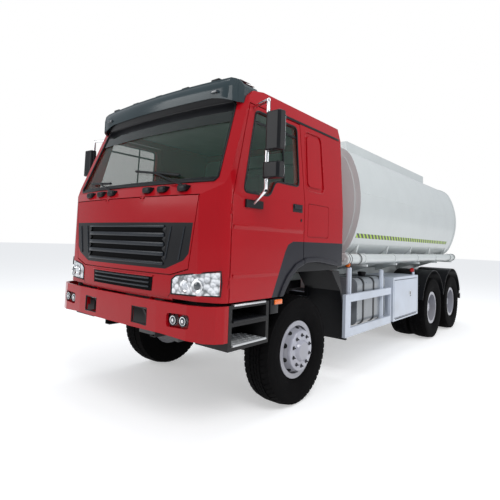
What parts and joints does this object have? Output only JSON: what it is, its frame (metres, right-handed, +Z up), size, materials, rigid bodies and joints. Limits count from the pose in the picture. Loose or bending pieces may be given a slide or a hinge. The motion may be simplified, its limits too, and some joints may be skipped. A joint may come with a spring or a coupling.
{
  "type": "tanker truck",
  "caption": "Tanker truck with a tilting forward-control cab, steered front wheels, paired rear wheels and a rounded road tank with a walkway on top.",
  "frame": {"origin": "on the ground, midway between the foremost and rearmost faces, on the centre plane", "axes": "+X to the truck's left, -Y forwards along the direction of travel, +Z up"},
  "size_m": [3.1828, 8.3, 3.2998],
  "materials": {
    "red_paint": "gloss",
    "tank_paint": "satin",
    "guard_paint": "satin",
    "black_metal": "satin",
    "black_plastic": "matte",
    "visor_plastic": "gloss",
    "glass": "clear",
    "lamp_glass": "gloss",
    "rim_paint": "satin",
    "tyre_rubber": "matte",
    "engine_metal": "matte",
    "bare_aluminium": "satin",
    "cab_trim": "matte",
    "seat_fabric": "matte"
  },
  "bodies": {
    "chassis": {"chassis_frame": "black_metal", "front_bumper": "red_paint", "chassis_lamps": "lamp_glass", "entry_steps": "black_metal", "engine_and_gearbox": "engine_metal", "axles": "black_metal", "leaf_springs": "black_metal", "mudguards": "black_plastic", "fuel_tank": "bare_aluminium", "air_tanks": "black_metal", "exhaust_silencer": "black_metal", "side_guards": "guard_paint", "tank_shell": "tank_paint", "tank_cradle": "tank_paint", "tank_coaming": "tank_paint", "hose_tubes": "tank_paint", "rear_underrun": "guard_paint", "rear_ladder": "tank_paint"},
    "cab": {"cab_shell": "red_paint", "front_panels": "red_paint", "windscreen": "glass", "sun_visor": "visor_plastic", "headlamps": "lamp_glass", "dashboard": "cab_trim", "seats": "seat_fabric", "rear_arch_trims": "black_plastic"},
    "front_lid": {"front_lid": "red_paint", "grille": "black_plastic"},
    "left_door": {"door_left": "red_paint", "door_trim_left": "black_plastic", "door_glass_left": "glass", "mirror_left": "black_plastic"},
    "right_door": {"door_right": "red_paint", "door_trim_right": "black_plastic", "door_glass_right": "glass", "mirror_right": "black_plastic"},
    "cabinet_door": {"cabinet_door": "guard_paint"},
    "manhole_lid_1": {"manhole_lid_1": "tank_paint"},
    "manhole_lid_2": {"manhole_lid_2": "tank_paint"},
    "left_knuckle": {"knuckle_left": "black_metal"},
    "right_knuckle": {"knuckle_right": "black_metal"},
    "front_left_wheel": {"rim_front_left": "rim_paint", "tyre_front_left": "tyre_rubber"},
    "front_right_wheel": {"rim_front_right": "rim_paint", "tyre_front_right": "tyre_rubber"},
    "mid_left_wheel": {"rim_mid_left": "rim_paint", "tyre_mid_left": "tyre_rubber"},
    "mid_right_wheel": {"rim_mid_right": "rim_paint", "tyre_mid_right": "tyre_rubber"},
    "rear_left_wheel": {"rim_rear_left": "rim_paint", "tyre_rear_left": "tyre_rubber"},
    "rear_right_wheel": {"rim_rear_right": "rim_paint", "tyre_rear_right": "tyre_rubber"}
  },
  "joints": [
    {"name": "cab_tilt", "type": "hinge", "parent": "chassis", "child": "cab", "pos_m": [0, -4.09, 1.06], "axis": [1, 0, 0], "range_deg": [0, 50]},
    {"name": "front_lid_hinge", "type": "hinge", "parent": "cab", "child": "front_lid", "pos_m": [0, -4.092, 2.063], "axis": [-1, 0, 0], "range_deg": [0, 80]},
    {"name": "left_door_hinge", "type": "hinge", "parent": "cab", "child": "left_door", "pos_m": [1.246, -3.866, 1.6], "axis": [0, 0, -1], "range_deg": [0, 70]},
    {"name": "right_door_hinge", "type": "hinge", "parent": "cab", "child": "right_door", "pos_m": [-1.246, -3.866, 1.6], "axis": [0, 0, 1], "range_deg": [0, 70]},
    {"name": "cabinet_door_hinge", "type": "hinge", "parent": "chassis", "child": "cabinet_door", "pos_m": [1.246, -0.118, 0.888], "axis": [0, 0, -1], "range_deg": [0, 100]},
    {"name": "manhole_lid_1_hinge", "type": "hinge", "parent": "chassis", "child": "manhole_lid_1", "pos_m": [0, 0.56, 3.26], "axis": [-1, 0, 0], "range_deg": [0, 100]},
    {"name": "manhole_lid_2_hinge", "type": "hinge", "parent": "chassis", "child": "manhole_lid_2", "pos_m": [0, 2.56, 3.26], "axis": [-1, 0, 0], "range_deg": [0, 100]},
    {"name": "left_steering", "type": "hinge", "parent": "chassis", "child": "left_knuckle", "pos_m": [0.82, -2.65, 0.5625], "axis": [0, 0, 1], "range_deg": [-36, 36]},
    {"name": "right_steering", "type": "hinge", "parent": "chassis", "child": "right_knuckle", "pos_m": [-0.82, -2.65, 0.5625], "axis": [0, 0, 1], "range_deg": [-36, 36]},
    {"name": "front_left_wheel_spin", "type": "hinge", "parent": "left_knuckle", "child": "front_left_wheel", "pos_m": [1.02, -2.65, 0.5625], "axis": [1, 0, 0], "continuous": true},
    {"name": "front_right_wheel_spin", "type": "hinge", "parent": "right_knuckle", "child": "front_right_wheel", "pos_m": [-1.02, -2.65, 0.5625], "axis": [1, 0, 0], "continuous": true},
    {"name": "mid_left_wheel_spin", "type": "hinge", "parent": "chassis", "child": "mid_left_wheel", "pos_m": [0.91, 1.95, 0.5625], "axis": [1, 0, 0], "continuous": true},
    {"name": "mid_right_wheel_spin", "type": "hinge", "parent": "chassis", "child": "mid_right_wheel", "pos_m": [-0.91, 1.95, 0.5625], "axis": [1, 0, 0], "continuous": true},
    {"name": "rear_left_wheel_spin", "type": "hinge", "parent": "chassis", "child": "rear_left_wheel", "pos_m": [0.91, 3.3, 0.5625], "axis": [1, 0, 0], "continuous": true},
    {"name": "rear_right_wheel_spin", "type": "hinge", "parent": "chassis", "child": "rear_right_wheel", "pos_m": [-0.91, 3.3, 0.5625], "axis": [1, 0, 0], "continuous": true}
  ],
  "couplings": [
    {"joint": "right_steering", "follows": "left_steering", "ratio": 1}
  ]
}
